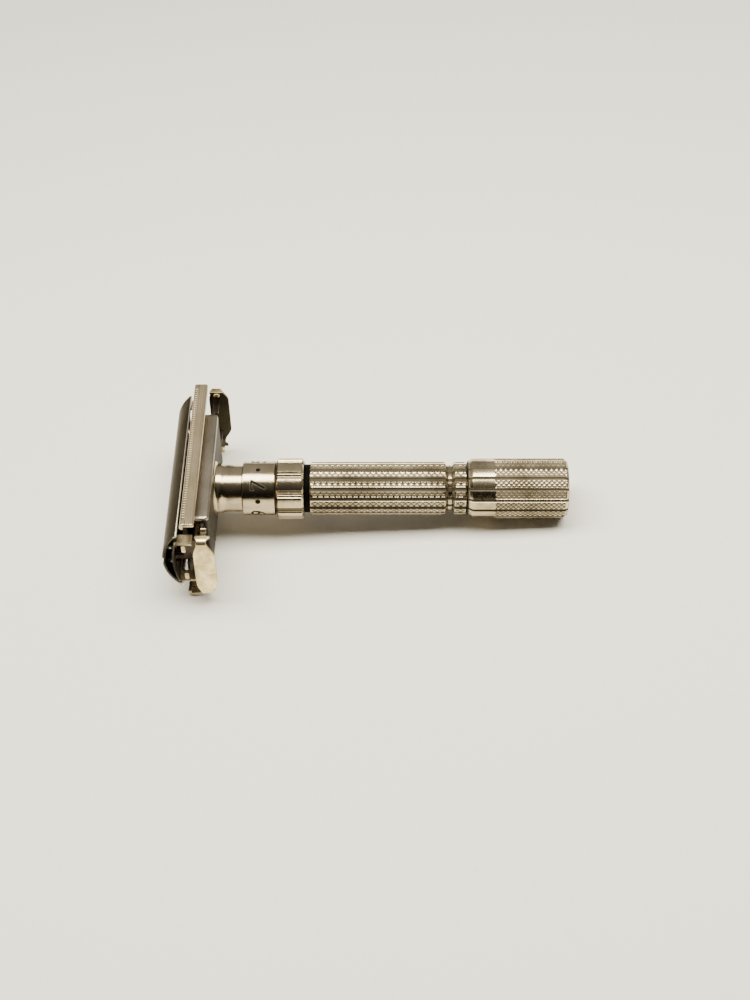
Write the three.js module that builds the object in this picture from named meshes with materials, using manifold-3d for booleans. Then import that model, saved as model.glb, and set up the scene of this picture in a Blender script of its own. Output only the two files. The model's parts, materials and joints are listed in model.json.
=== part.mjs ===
// Adjustable twist-to-open double-edge safety razor, in millimetres.
//
// Every piece is drawn in an upright frame: Z runs up the handle from the end of the
// knob, X is the width of the blade and Y its length. The finished razor is then laid
// on its side, so that it rests on one guard bar and on the rim of the knob.

import * as THREE from 'three';
import { mergeVertices } from 'three/addons/utils/BufferGeometryUtils.js';
import Module from 'manifold-3d';

const wasm = await Module();
wasm.setup();

// ---------------------------------------------------------------- driving dimensions

const FIT_GAP = 0.3; // between pieces fixed to each other
const RUN_GAP = 0.15; // between pieces that turn or slide in each other

// Heights along the handle, from the end of the knob.
const KNOB_SHOULDER = 20.5;
const KNOB_TOP = 21.6;
const BARREL_BOTTOM = 21.9;
const BEAD_BOTTOM = 24.3;
const BEAD_TOP = 26.4;
const BARREL_TOP = 55.5;
const GRIP_BOTTOM = 56.8;
const GRIP_TOP = 62.7;
const DIAL_BOTTOM = 63.0;
const DIAL_TOP = 69.9;
const NECK_BOTTOM = 70.1;
const NECK_FLANGE = 74.6;
const NECK_TOP = 75.7;

// Radii of the handle.
const KNOB_RADIUS = 6.5;
const KNOB_BORE = 5.2;
const BARREL_RADIUS = 5.75;
const BARREL_BORE = 4.4;
const GRIP_RADIUS = 6.55;
const DIAL_RADIUS = 5.85;
const DIAL_SPIGOT = 4.9;
const DIAL_BORE = 4.55;
const NECK_RADIUS = 5.1;
const NECK_FLANGE_RADIUS = 5.4;
const ROD_RADIUS = 1.45;
const TUBE_BORE = 1.75;
const TUBE_JOURNAL = 2.9;
const TUBE_BODY = 4.1;
const TUBE_UPPER = 2.6;
const TUBE_SPIGOT = 2.35;

// Knurled handle: long grooves between the panels.
const GROOVES = 16;
const GROOVE_RADIUS = 0.55;
const GROOVE_DEPTH = 0.34;
const GROOVE_FACETS = 8;
const ROUND = 40; // facets of the large round pieces
const HIDDEN_ROUND = 24; // and of those inside
const SMALL_ROUND = 12;

// Head.
const DOOR_OUTER_RADIUS = 11.43;
const DOOR_CENTRE = 74.37;
const DOOR_THICKNESS = 0.8;
const DOOR_RIM = 8.35;
const DOOR_HALF_LENGTH = 20.4;
const PIVOT_X = 2.2;
const PIVOT_Z = 84.1;
const PIVOT_SWEEP = 2.05; // reach of the doors' inner edges round their pivots
const PIN_RADIUS = 0.25;
const STANCHION_Y = 17;
const STANCHION_THICKNESS = 1;
const LUG_Y = 18.2;
const LUG_THICKNESS = 0.9;

const PLATFORM_CREST = 83.6;
const PLATFORM_CAMBER = 22.5;
const PLATFORM_HALF_WIDTH = 6;
const PLATFORM_HALF_LENGTH = 21;
const PLATFORM_SHEET = 0.6;
const POST_Y = 9;
const POST_RADIUS = 1.1;

const GUARD_HALF_WIDTH = 11.6;
const GUARD_HALF_LENGTH = 20.5;
const GUARD_TOP = 81.3;
const GUARD_LIP = 78.3;
const GUARD_SHEET_TOP = 81.1;
const GUARD_SHEET_BOTTOM = 80.6;
const GUARD_PLATE_HALF_LENGTH = 18;
const GUARD_POST_Y = 3.4;
const GUARD_POST_RADIUS = 0.4;

const PAN_BOTTOM = 76;
const PAN_TOP = 79;
const PAN_HALF_WIDTH = 7.5;
const PAN_HALF_LENGTH = 15.3;
const PAN_CORNER = 2;
const PAN_SHEET = 0.6;

const CROSSHEAD_BOTTOM = 77.1;
const CROSSHEAD_TOP = 77.65;
const CROSSHEAD_HALF_WIDTH = 6.2;
const EAR_INNER = 22.1;
const EAR_OUTER = 22.9;
const EAR_BOTTOM = 74.6;
const EAR_TOP = 78.5;
const EAR_HALF_WIDTH = 8.6;

// ---------------------------------------------------------------- solids

// A closed three.js geometry as a solid, turned so that its faces point out.
function solid(geometry) {
  const bare = geometry.clone();
  bare.deleteAttribute('normal');
  bare.deleteAttribute('uv');
  const welded = mergeVertices(bare, 1e-4);
  const vertices = new Float32Array(welded.attributes.position.array);
  const kept = [];
  const index = welded.index.array;
  for (let i = 0; i < index.length; i += 3) {
    const [a, b, c] = [index[i], index[i + 1], index[i + 2]];
    if (a !== b && b !== c && c !== a) kept.push(a, b, c);
  }
  const corner = (n) => new THREE.Vector3().fromArray(vertices, 3 * n);
  let volume = 0;
  for (let i = 0; i < kept.length; i += 3) {
    const normal = new THREE.Vector3().crossVectors(corner(kept[i + 1]), corner(kept[i + 2]));
    volume += corner(kept[i]).dot(normal);
  }
  if (volume < 0) kept.reverse();
  return new wasm.Manifold(
    new wasm.Mesh({ numProp: 3, vertProperties: vertices, triVerts: new Uint32Array(kept) }),
  );
}

const join = (first, ...others) => others.reduce((sum, next) => sum.add(next), first);
const cut = (first, ...others) => others.reduce((rest, next) => rest.subtract(next), first);

// A solid of revolution about Z: outline is a list of [radius, height].
function turned(outline, facets = ROUND) {
  const points = outline.map(([radius, height]) => new THREE.Vector2(radius, height));
  const closesOnAxis = outline[0][0] === 0 && outline.at(-1)[0] === 0;
  if (!closesOnAxis) points.push(points[0].clone());
  return solid(new THREE.LatheGeometry(points, facets).rotateX(Math.PI / 2));
}

const ring = (inner, outer, bottom, top, facets = ROUND) =>
  turned([[inner, bottom], [outer, bottom], [outer, top], [inner, top]], facets);

function box(x0, x1, y0, y1, z0, z1) {
  const shape = new THREE.BoxGeometry(x1 - x0, y1 - y0, z1 - z0);
  return solid(shape.translate((x0 + x1) / 2, (y0 + y1) / 2, (z0 + z1) / 2));
}

// A round post standing on [x, y].
function post(radius, bottom, top, x, y, facets = SMALL_ROUND) {
  const shape = new THREE.CylinderGeometry(radius, radius, top - bottom, facets);
  return solid(shape.rotateX(Math.PI / 2).translate(x, y, (bottom + top) / 2));
}

// A round bar along Y.
function crossBar(radius, y0, y1, x, z) {
  const shape = new THREE.CylinderGeometry(radius, radius, y1 - y0, SMALL_ROUND);
  return solid(shape.translate(x, (y0 + y1) / 2, z));
}

// An outline in the X-Z plane, drawn out along Y from y0 to y1.
function drawn(shape, y0, y1) {
  const geometry = new THREE.ExtrudeGeometry(shape, {
    depth: y1 - y0,
    bevelEnabled: false,
    curveSegments: 12,
  });
  return solid(geometry.rotateX(Math.PI / 2).translate(0, y1, 0));
}

function polygon(points) {
  return new THREE.Shape(points.map(([x, z]) => new THREE.Vector2(x, z)));
}

// A helical wire: an open run of round wire with flat ends.
function coil({ radius, wire, bottom, top, turns, x = 0, facets, sides }) {
  class Helix extends THREE.Curve {
    getPoint(t, target = new THREE.Vector3()) {
      const angle = 2 * Math.PI * turns * t;
      const height = THREE.MathUtils.lerp(bottom + wire, top - wire, t);
      return target.set(x + radius * Math.cos(angle), radius * Math.sin(angle), height);
    }
  }
  const section = new THREE.Shape();
  section.absarc(0, 0, wire, 0, 2 * Math.PI);
  const geometry = new THREE.ExtrudeGeometry(section, {
    steps: facets * turns,
    curveSegments: sides,
    bevelEnabled: false,
    extrudePath: new Helix(),
  });
  return solid(geometry);
}

// The long grooves round a knurled piece, each cut by a fine round rod.
function grooved(body, radius, bottom, top) {
  const reach = radius + GROOVE_RADIUS - GROOVE_DEPTH;
  let result = body;
  for (let i = 0; i < GROOVES; i += 1) {
    const angle = (2 * Math.PI * i) / GROOVES;
    const [x, y] = [reach * Math.cos(angle), reach * Math.sin(angle)];
    result = result.subtract(post(GROOVE_RADIUS, bottom, top, x, y, GROOVE_FACETS));
  }
  return result;
}

// ---------------------------------------------------------------- materials

const finish = (color, roughness) =>
  new THREE.MeshStandardMaterial({ color, roughness, metalness: 1 });

const NICKEL = finish(0xc9c0ae, 0.28);
const WORN_NICKEL = finish(0xd8cba6, 0.3);
const INNER_BRASS = finish(0xb6955a, 0.4);
const STEEL = finish(0x9b9a97, 0.35);

// ---------------------------------------------------------------- handle

function barrel() {
  const edge = 0.3;
  const valley = BARREL_RADIUS - 0.75;
  const bead = BARREL_RADIUS - 0.2;
  const crown = 0.1;
  const flank = 0.45;
  const middle = (BEAD_BOTTOM + BEAD_TOP) / 2;
  const body = turned([
    [BARREL_BORE, BARREL_BOTTOM],
    [BARREL_RADIUS - edge, BARREL_BOTTOM],
    [BARREL_RADIUS, BARREL_BOTTOM + edge],
    [BARREL_RADIUS, BEAD_BOTTOM],
    [valley, BEAD_BOTTOM + edge],
    [bead, middle - flank],
    [bead + crown, middle],
    [bead, middle + flank],
    [valley, BEAD_TOP - edge],
    [BARREL_RADIUS, BEAD_TOP],
    [BARREL_RADIUS, BARREL_TOP - edge],
    [BARREL_RADIUS - edge, BARREL_TOP],
    [BARREL_BORE, BARREL_TOP],
  ]);
  const collar = grooved(body, BARREL_RADIUS, BARREL_BOTTOM - 1, BEAD_BOTTOM + edge);
  return grooved(collar, BARREL_RADIUS, BEAD_TOP - edge, BARREL_TOP + 1);
}

// The fixed tube that carries the barrel, the neck and every turning piece.
const TUBE_BOTTOM = 10.3;
const TUBE_SHOULDER = 22.2;
const TUBE_STEP = 55;
const TUBE_TOP = 73.2;
const RETAINER_BOTTOM = 11.8;
const RETAINER_TOP = 12.5;

function innerTube() {
  const slack = 0.2;
  const root = 2.3;
  return turned([
    [TUBE_BORE, TUBE_BOTTOM],
    [TUBE_JOURNAL, TUBE_BOTTOM],
    [TUBE_JOURNAL, RETAINER_BOTTOM - slack],
    [root, RETAINER_BOTTOM - slack],
    [root, RETAINER_TOP + slack],
    [TUBE_JOURNAL, RETAINER_TOP + slack],
    [TUBE_JOURNAL, TUBE_SHOULDER],
    [TUBE_BODY, TUBE_SHOULDER],
    [TUBE_BODY, TUBE_STEP],
    [TUBE_UPPER, TUBE_STEP],
    [TUBE_UPPER, DIAL_TOP],
    [TUBE_SPIGOT, DIAL_TOP],
    [TUBE_SPIGOT, TUBE_TOP],
    [TUBE_BORE, TUBE_TOP],
  ], HIDDEN_ROUND);
}

// A snap ring with a gap, in the groove of the tube: it keeps the knob on.
function knobRetainer() {
  const [inner, outer] = [2.5, 4.3];
  const halfGap = 0.8;
  const snap = ring(inner, outer, RETAINER_BOTTOM, RETAINER_TOP, HIDDEN_ROUND);
  return cut(snap, box(0, outer + 1, -halfGap, halfGap, RETAINER_BOTTOM - 1, RETAINER_TOP + 1));
}

const thrustWasher = () =>
  ring(TUBE_UPPER + FIT_GAP, DIAL_SPIGOT, BARREL_TOP + RUN_GAP, GRIP_BOTTOM - RUN_GAP);

// Pockets in the neck: two holes for the guard's posts and one for the detent.
const DETENT_X = 4.3;
const DETENT_TOP = 73.1;
const DETENT_RADIUS = 0.5;

function neck() {
  const fillet = 0.25;
  const bore = TUBE_SPIGOT + FIT_GAP;
  const postHole = GUARD_POST_RADIUS + RUN_GAP;
  const body = turned([
    [bore, NECK_BOTTOM],
    [NECK_RADIUS, NECK_BOTTOM],
    [NECK_RADIUS, NECK_FLANGE],
    [NECK_FLANGE_RADIUS, NECK_FLANGE + fillet],
    [NECK_FLANGE_RADIUS, NECK_TOP - fillet],
    [NECK_FLANGE_RADIUS - fillet, NECK_TOP],
    [TUBE_BORE, NECK_TOP],
    [TUBE_BORE, TUBE_TOP + FIT_GAP],
    [bore, TUBE_TOP + FIT_GAP],
  ]);
  return cut(
    body,
    post(postHole, NECK_BOTTOM - 1, NECK_TOP + 1, 0, GUARD_POST_Y),
    post(postHole, NECK_BOTTOM - 1, NECK_TOP + 1, 0, -GUARD_POST_Y),
    post(DETENT_RADIUS, NECK_BOTTOM - 1, DETENT_TOP, DETENT_X, 0),
  );
}

const BALL_RADIUS = 0.38;
const CLOSE_GAP = 0.1; // between a spring or post and what it rests on

function detentBall() {
  const ball = new THREE.SphereGeometry(BALL_RADIUS, 12, 8);
  return solid(ball.translate(DETENT_X, 0, NECK_BOTTOM + BALL_RADIUS));
}

const detentSpring = () =>
  coil({
    radius: 0.28,
    wire: 0.09,
    bottom: NECK_BOTTOM + 2 * BALL_RADIUS + CLOSE_GAP,
    top: DETENT_TOP - CLOSE_GAP,
    turns: 4,
    x: DETENT_X,
    facets: 8,
    sides: 3,
  });

// ---------------------------------------------------------------- knob

function knobShell() {
  const bevel = 0.6;
  const neckHole = TUBE_JOURNAL + FIT_GAP;
  const capThickness = 2;
  const body = turned([
    [KNOB_BORE, 0],
    [KNOB_RADIUS - bevel, 0],
    [KNOB_RADIUS, bevel],
    [KNOB_RADIUS, KNOB_SHOULDER],
    [BARREL_RADIUS, KNOB_TOP],
    [neckHole, KNOB_TOP],
    [neckHole, KNOB_TOP - capThickness],
    [KNOB_BORE, KNOB_TOP - capThickness],
  ]);
  return grooved(body, KNOB_RADIUS, -1, KNOB_TOP + 1);
}

// Heights of what fills the knob: its end plug, the nut of the lift rod and its bush.
const PLUG_BOTTOM = 0.25;
const PLUG_TOP = 1.6;
const NUT_BOTTOM = 2.4;
const NUT_TOP = 9.4;
const BUSH_BOTTOM = 13.1;
const BUSH_TOP = 19.2;
const KNOB_FILL = KNOB_BORE - FIT_GAP;

function knobEndPlug() {
  const dish = 0.3;
  const rim = 0.7;
  return turned([
    [0, PLUG_BOTTOM],
    [KNOB_FILL - rim, PLUG_BOTTOM],
    [KNOB_FILL, PLUG_BOTTOM + dish],
    [KNOB_FILL, PLUG_TOP],
    [0, PLUG_TOP],
  ]);
}

const driveNut = () => ring(ROD_RADIUS + RUN_GAP, KNOB_FILL, NUT_BOTTOM, NUT_TOP, HIDDEN_ROUND);

const knobBush = () =>
  ring(TUBE_JOURNAL + RUN_GAP, KNOB_FILL, BUSH_BOTTOM, BUSH_TOP, HIDDEN_ROUND);

// ---------------------------------------------------------------- dial and guard

function dialGripRing() {
  const bevel = 0.5;
  return turned([
    [DIAL_SPIGOT + FIT_GAP, GRIP_BOTTOM],
    [GRIP_RADIUS - bevel, GRIP_BOTTOM],
    [GRIP_RADIUS, GRIP_BOTTOM + bevel],
    [GRIP_RADIUS, GRIP_TOP - bevel],
    [GRIP_RADIUS - bevel, GRIP_TOP],
    [DIAL_SPIGOT + FIT_GAP, GRIP_TOP],
  ]);
}

function dialSleeve() {
  const edge = 0.15;
  const bottom = GRIP_BOTTOM + RUN_GAP;
  return turned([
    [DIAL_BORE, bottom],
    [DIAL_SPIGOT, bottom],
    [DIAL_SPIGOT, DIAL_BOTTOM],
    [DIAL_RADIUS - edge, DIAL_BOTTOM],
    [DIAL_RADIUS, DIAL_BOTTOM + edge],
    [DIAL_RADIUS, DIAL_TOP - edge],
    [DIAL_RADIUS - edge, DIAL_TOP],
    [DIAL_BORE, DIAL_TOP],
  ]);
}

// The dial's inner nut turns on the sleeve that lifts the guard.
const ADJUSTER_BOTTOM = 64.3;
const ADJUSTER_TOP = 68.8;
const ADJUSTER_BORE = 2.9;
const ADJUSTER_RADIUS = 3.8;
const SPRING_BOTTOM = 56.8;
const SPRING_TOP = 63.3;
const DIAL_NUT_BOTTOM = 64;
const DIAL_NUT_TOP = 69.5;

function dialNut() {
  const outer = DIAL_BORE - RUN_GAP;
  return ring(ADJUSTER_RADIUS + RUN_GAP, outer, DIAL_NUT_BOTTOM, DIAL_NUT_TOP, HIDDEN_ROUND);
}

const adjusterSleeve = () =>
  ring(ADJUSTER_BORE, ADJUSTER_RADIUS, ADJUSTER_BOTTOM, ADJUSTER_TOP, HIDDEN_ROUND);

const adjusterSpring = () =>
  coil({
    radius: 3.45,
    wire: 0.35,
    bottom: SPRING_BOTTOM,
    top: SPRING_TOP,
    turns: 4,
    facets: 12,
    sides: 3,
  });

function guardPost(side) {
  const [bottom, top] = [ADJUSTER_TOP + CLOSE_GAP, GUARD_SHEET_BOTTOM - CLOSE_GAP];
  return post(GUARD_POST_RADIUS, bottom, top, 0, side * GUARD_POST_Y);
}

const GUARD_RIDGE = 1.5;
const SLOT_HALF_WIDTH = 3.4; // openings that the doors' uprights pass through
const POST_CLEARANCE = 0.4; // round the platform's posts

// One guard bar in section: a ridge above the plate and a lip that hangs below it.
function guardBarSection(side) {
  const lip = 0.9;
  const ridge = GUARD_RIDGE;
  const soft = 0.35;
  const outer = GUARD_HALF_WIDTH;
  return polygon([
    [outer - ridge - soft, GUARD_SHEET_TOP],
    [outer - ridge, GUARD_TOP],
    [outer - soft, GUARD_TOP],
    [outer, GUARD_TOP - soft],
    [outer, GUARD_LIP + soft],
    [outer - soft, GUARD_LIP],
    [outer - lip, GUARD_LIP],
    [outer - lip, GUARD_SHEET_BOTTOM],
    [outer - ridge - soft, GUARD_SHEET_BOTTOM],
  ].map(([x, z]) => [side * x, z]));
}

function guardPlate() {
  const bars = [1, -1].map((side) =>
    drawn(guardBarSection(side), -GUARD_HALF_LENGTH, GUARD_HALF_LENGTH));
  const halfPlate = GUARD_HALF_WIDTH - GUARD_RIDGE;
  const middleHole = 2.4;
  const length = GUARD_PLATE_HALF_LENGTH;
  const plate = box(-halfPlate, halfPlate, -length, length, GUARD_SHEET_BOTTOM, GUARD_SHEET_TOP);
  const [under, over] = [GUARD_SHEET_BOTTOM - 1, GUARD_SHEET_TOP + 1];
  const notch = STANCHION_Y - STANCHION_THICKNESS / 2 - FIT_GAP;
  return cut(
    join(plate, ...bars),
    post(middleHole, under, over, 0, 0, HIDDEN_ROUND),
    post(POST_RADIUS + POST_CLEARANCE, under, over, 0, POST_Y),
    post(POST_RADIUS + POST_CLEARANCE, under, over, 0, -POST_Y),
    box(-SLOT_HALF_WIDTH, SLOT_HALF_WIDTH, notch, length + 1, under, over),
    box(-SLOT_HALF_WIDTH, SLOT_HALF_WIDTH, -length - 1, -notch, under, over),
  );
}

// ---------------------------------------------------------------- fixed head

function panSection() {
  const shape = new THREE.Shape();
  const side = PAN_HALF_WIDTH;
  const bend = side - PAN_CORNER;
  const inner = PAN_CORNER - PAN_SHEET;
  const level = PAN_BOTTOM + PAN_CORNER;
  shape.moveTo(-side, PAN_TOP);
  shape.lineTo(-side, level);
  shape.absarc(-bend, level, PAN_CORNER, Math.PI, 1.5 * Math.PI, false);
  shape.absarc(bend, level, PAN_CORNER, 1.5 * Math.PI, 2 * Math.PI, false);
  shape.lineTo(side, PAN_TOP);
  shape.lineTo(side - PAN_SHEET, PAN_TOP);
  shape.absarc(bend, level, inner, 2 * Math.PI, 1.5 * Math.PI, true);
  shape.absarc(-bend, level, inner, 1.5 * Math.PI, Math.PI, true);
  shape.lineTo(-side + PAN_SHEET, PAN_TOP);
  return shape;
}

// The trough under the guard: fixed to the neck, with the crosshead sliding inside it.
function pan() {
  const trough = drawn(panSection(), -PAN_HALF_LENGTH, PAN_HALF_LENGTH);
  const [under, over] = [PAN_BOTTOM - 1, PAN_BOTTOM + PAN_SHEET + FIT_GAP];
  return cut(
    trough,
    post(ROD_RADIUS + FIT_GAP, under, over, 0, 0),
    post(GUARD_POST_RADIUS + RUN_GAP, under, over, 0, GUARD_POST_Y),
    post(GUARD_POST_RADIUS + RUN_GAP, under, over, 0, -GUARD_POST_Y),
  );
}

const platformTop = (x) => PLATFORM_CREST - x ** 2 / (2 * PLATFORM_CAMBER);

// The cambered plate that the blade lies on, with a folded tab at each corner.
function bladePlatform() {
  const half = PLATFORM_HALF_WIDTH;
  const crest = PLATFORM_CREST;
  const steps = 12;
  const columns = Array.from({ length: steps + 1 }, (_, i) => half - (2 * half * i) / steps);
  const upper = columns.map((x) => [x, platformTop(x)]);
  const lower = [...columns].reverse().map((x) => [x, platformTop(x) - PLATFORM_SHEET]);
  const length = PLATFORM_HALF_LENGTH;
  const plate = drawn(polygon([...upper, ...lower]), -length, length);

  // A low rib along the crest that centres the blade.
  const rib = { halfWidth: 0.4, halfLength: 13, root: 0.3, height: 0.5 };
  const locator = box(
    -rib.halfWidth, rib.halfWidth, -rib.halfLength, rib.halfLength, crest - rib.root, crest + rib.height,
  );
  const sheet = 0.5;
  const tab = { bottom: 79.1, length: 2.7 };
  const tongue = { near: 2.9, far: half - 0.2, bottom: 80.4, top: 81.6 };
  const slot = { halfWidth: 3.6, middle: 17.5, length: 2.6 };
  const edge = platformTop(half) - PLATFORM_SHEET / 2;
  const tabs = [];
  const slots = [];
  for (const side of [1, -1]) {
    const along = span(side, length - tab.length / 2, tab.length);
    const end = span(side, length - sheet / 2, sheet);
    const opening = span(side, slot.middle, slot.length);
    tabs.push(box(half - sheet, half, ...along, tab.bottom, edge));
    tabs.push(box(-half, sheet - half, ...along, tab.bottom, edge));
    tabs.push(box(tongue.near, tongue.far, ...end, tongue.bottom, tongue.top));
    tabs.push(box(-tongue.far, -tongue.near, ...end, tongue.bottom, tongue.top));
    slots.push(box(-slot.halfWidth, slot.halfWidth, ...opening, crest - 2, crest + 1));
  }
  return cut(join(plate, locator, ...tabs), ...slots);
}

// A post that carries the platform above the moving crosshead and guard.
function platformPost(side) {
  const bottom = PAN_BOTTOM + PAN_SHEET + CLOSE_GAP;
  const top = PLATFORM_CREST - PLATFORM_SHEET - CLOSE_GAP;
  return post(POST_RADIUS, bottom, top, 0, side * POST_Y);
}

// ---------------------------------------------------------------- door carriage

const ROD_BOTTOM = 3.5;
const ROD_TOP = CROSSHEAD_BOTTOM - RUN_GAP;
const SCREW_RADIUS = 0.7;
const SCREW_HOLE = 0.95;
const SCREW_DEPTH = 2;
const HOLE_DEPTH = 2.4;

const liftRod = () =>
  turned([
    [0, ROD_BOTTOM],
    [ROD_RADIUS, ROD_BOTTOM],
    [ROD_RADIUS, ROD_TOP],
    [SCREW_HOLE, ROD_TOP],
    [SCREW_HOLE, ROD_TOP - HOLE_DEPTH],
    [0, ROD_TOP - HOLE_DEPTH],
  ], HIDDEN_ROUND);

function crossheadScrew() {
  const head = { radius: 1.6, taper: 0.1, height: 0.6, crown: 0.1 };
  const seat = CROSSHEAD_TOP + RUN_GAP;
  return turned([
    [0, ROD_TOP - SCREW_DEPTH],
    [SCREW_RADIUS, ROD_TOP - SCREW_DEPTH],
    [SCREW_RADIUS, seat],
    [head.radius, seat],
    [head.radius - head.taper, seat + head.height],
    [0, seat + head.height + head.crown],
  ], SMALL_ROUND);
}

// The flat bar that the rod lifts: it fills the pan and reaches out to the ears.
function crosshead() {
  const wide = CROSSHEAD_HALF_WIDTH;
  const narrow = 5.2;
  const shoulder = 18.1;
  const end = EAR_INNER - FIT_GAP;
  const [low, high] = [CROSSHEAD_BOTTOM, CROSSHEAD_TOP];
  const web = box(-wide, wide, -shoulder, shoulder, low, high);
  const tongue = box(-narrow, narrow, -end, end, low, high);
  const skirtBottom = 75.5;
  const skirtStart = PAN_HALF_LENGTH + FIT_GAP;
  const sheet = 0.6;
  const skirts = [];
  for (const y of [skirtStart, -shoulder]) {
    const far = y + shoulder - skirtStart;
    skirts.push(box(wide - sheet, wide, y, far, skirtBottom, high));
    skirts.push(box(-wide, sheet - wide, y, far, skirtBottom, high));
  }
  for (const y of [shoulder - sheet, -end]) {
    const far = y + end - shoulder + sheet;
    skirts.push(box(narrow - sheet, narrow, y, far, skirtBottom, high));
    skirts.push(box(-narrow, sheet - narrow, y, far, skirtBottom, high));
  }
  for (const y of [shoulder - sheet, -shoulder]) {
    skirts.push(box(narrow - sheet, wide, y, y + sheet, skirtBottom, high));
    skirts.push(box(-wide, sheet - narrow, y, y + sheet, skirtBottom, high));
  }
  return cut(
    join(web, tongue, ...skirts),
    post(SCREW_HOLE, low - 1, high + 1, 0, 0),
    post(GUARD_POST_RADIUS + FIT_GAP, low - 1, high + 1, 0, GUARD_POST_Y),
    post(GUARD_POST_RADIUS + FIT_GAP, low - 1, high + 1, 0, -GUARD_POST_Y),
    post(POST_RADIUS + POST_CLEARANCE, low - 1, high + 1, 0, POST_Y),
    post(POST_RADIUS + POST_CLEARANCE, low - 1, high + 1, 0, -POST_Y),
  );
}

// An end plate with long clipped corners and two flanges folded in.
function ear(side) {
  const clip = 2.2;
  const rise = 0.6;
  const [low, high, half] = [EAR_BOTTOM, EAR_TOP, EAR_HALF_WIDTH];
  const outline = polygon([
    [-half, low + rise],
    [clip - half, low],
    [half - clip, low],
    [half, low + rise],
    [half, high - rise],
    [half - clip, high],
    [clip - half, high],
    [-half, high - rise],
  ]);
  const sheet = EAR_OUTER - EAR_INNER;
  const flange = { sheet: 0.6, reach: 2.1 };
  const folded = span(side, EAR_OUTER - flange.reach / 2 - sheet / 4, flange.reach - sheet / 2);
  return join(
    drawn(outline, ...span(side, EAR_OUTER - sheet / 2, sheet)),
    box(half - flange.sheet, half, ...folded, low + rise, high - rise),
    box(-half, flange.sheet - half, ...folded, low + rise, high - rise),
  );
}

// An upright that carries one end of both doors, with a horn for each hinge.
function stanchion(side) {
  const horn = 0.5;
  const half = 3;
  const foot = CROSSHEAD_TOP + RUN_GAP;
  const shoulder = 81.6;
  const shape = new THREE.Shape();
  shape.moveTo(-half, foot);
  shape.lineTo(half, foot);
  shape.lineTo(half, shoulder);
  shape.lineTo(PIVOT_X + horn, shoulder);
  shape.absarc(PIVOT_X, PIVOT_Z, horn, 0, Math.PI, false);
  shape.lineTo(PIVOT_X - horn, shoulder);
  shape.lineTo(horn - PIVOT_X, shoulder);
  shape.absarc(-PIVOT_X, PIVOT_Z, horn, 0, Math.PI, false);
  shape.lineTo(-PIVOT_X - horn, shoulder);
  shape.lineTo(-half, shoulder);
  const [y0, y1] = span(side, STANCHION_Y, STANCHION_THICKNESS);
  const hole = PIN_RADIUS + 0.05;
  return cut(
    drawn(shape, y0, y1),
    crossBar(hole, y0 - 1, y1 + 1, PIVOT_X, PIVOT_Z),
    crossBar(hole, y0 - 1, y1 + 1, -PIVOT_X, PIVOT_Z),
  );
}

// The two ends of a piece of the given thickness, centred at side * middle.
function span(side, middle, thickness) {
  return [side * middle - thickness / 2, side * middle + thickness / 2];
}

function hingePin(side, x) {
  const inner = STANCHION_Y - STANCHION_THICKNESS / 2 - CLOSE_GAP;
  const outer = LUG_Y + LUG_THICKNESS / 2 + CLOSE_GAP;
  const [y0, y1] = side > 0 ? [inner, outer] : [-outer, -inner];
  return crossBar(PIN_RADIUS, y0, y1, x, PIVOT_Z);
}

// ---------------------------------------------------------------- doors

// One curved door. Its inner edge is rounded about the hinge, so the two doors pass
// each other as they swing up.
function door(side) {
  const outerRadius = DOOR_OUTER_RADIUS;
  const innerRadius = outerRadius - DOOR_THICKNESS;
  const rim = Math.asin(DOOR_RIM / outerRadius);
  const facets = 14;
  const arc = (radius, from, to, count) =>
    Array.from({ length: count + 1 }, (_, i) => {
      const angle = from + ((to - from) * i) / count;
      return [radius * Math.sin(angle), DOOR_CENTRE + radius * Math.cos(angle)];
    });
  const outline = [
    ...arc(outerRadius, edgeAngle(outerRadius), rim, facets),
    ...arc(innerRadius, rim, edgeAngle(innerRadius), facets),
  ].map(([x, z]) => [side * x, z]);
  const shell = drawn(polygon(outline), -DOOR_HALF_LENGTH, DOOR_HALF_LENGTH);

  const eye = 0.6;
  const web = 0.95;
  const hole = PIN_RADIUS + 0.07;
  const lugs = [];
  const holes = [];
  for (const end of [1, -1]) {
    const [y0, y1] = span(end, LUG_Y, LUG_THICKNESS);
    const x = side * PIVOT_X;
    lugs.push(crossBar(eye, y0, y1, x, PIVOT_Z));
    lugs.push(box(x - eye, x + eye, y0, y1, PIVOT_Z, PIVOT_Z + web));
    holes.push(crossBar(hole, y0 - 1, y1 + 1, x, PIVOT_Z));
  }
  return cut(join(shell, ...lugs), ...holes);
}

// Where a door's arc comes within the sweep of its hinge: the angle from vertical.
function edgeAngle(radius) {
  const reach = Math.hypot(PIVOT_X, PIVOT_Z - DOOR_CENTRE);
  const towards = Math.atan2(PIVOT_X, PIVOT_Z - DOOR_CENTRE);
  const cosine = (radius ** 2 + reach ** 2 - PIVOT_SWEEP ** 2) / (2 * radius * reach);
  return towards - Math.acos(cosine);
}

// ---------------------------------------------------------------- assembly

const razor = new THREE.Group();

function add(name, body, material) {
  const { vertProperties, triVerts } = body.getMesh();
  const geometry = new THREE.BufferGeometry();
  geometry.setAttribute('position', new THREE.BufferAttribute(vertProperties, 3));
  geometry.setIndex(new THREE.BufferAttribute(triVerts, 1));
  geometry.computeVertexNormals();
  const mesh = new THREE.Mesh(geometry, material);
  mesh.name = name;
  razor.add(mesh);
}

add('handle_barrel', barrel(), NICKEL);
add('inner_tube', innerTube(), INNER_BRASS);
add('knob_retainer', knobRetainer(), STEEL);
add('thrust_washer', thrustWasher(), STEEL);
add('neck', neck(), NICKEL);
add('detent_ball', detentBall(), STEEL);
add('detent_spring', detentSpring(), STEEL);
add('adjuster_spring', adjusterSpring(), STEEL);
add('head_pan', pan(), NICKEL);
add('blade_platform', bladePlatform(), NICKEL);

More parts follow.
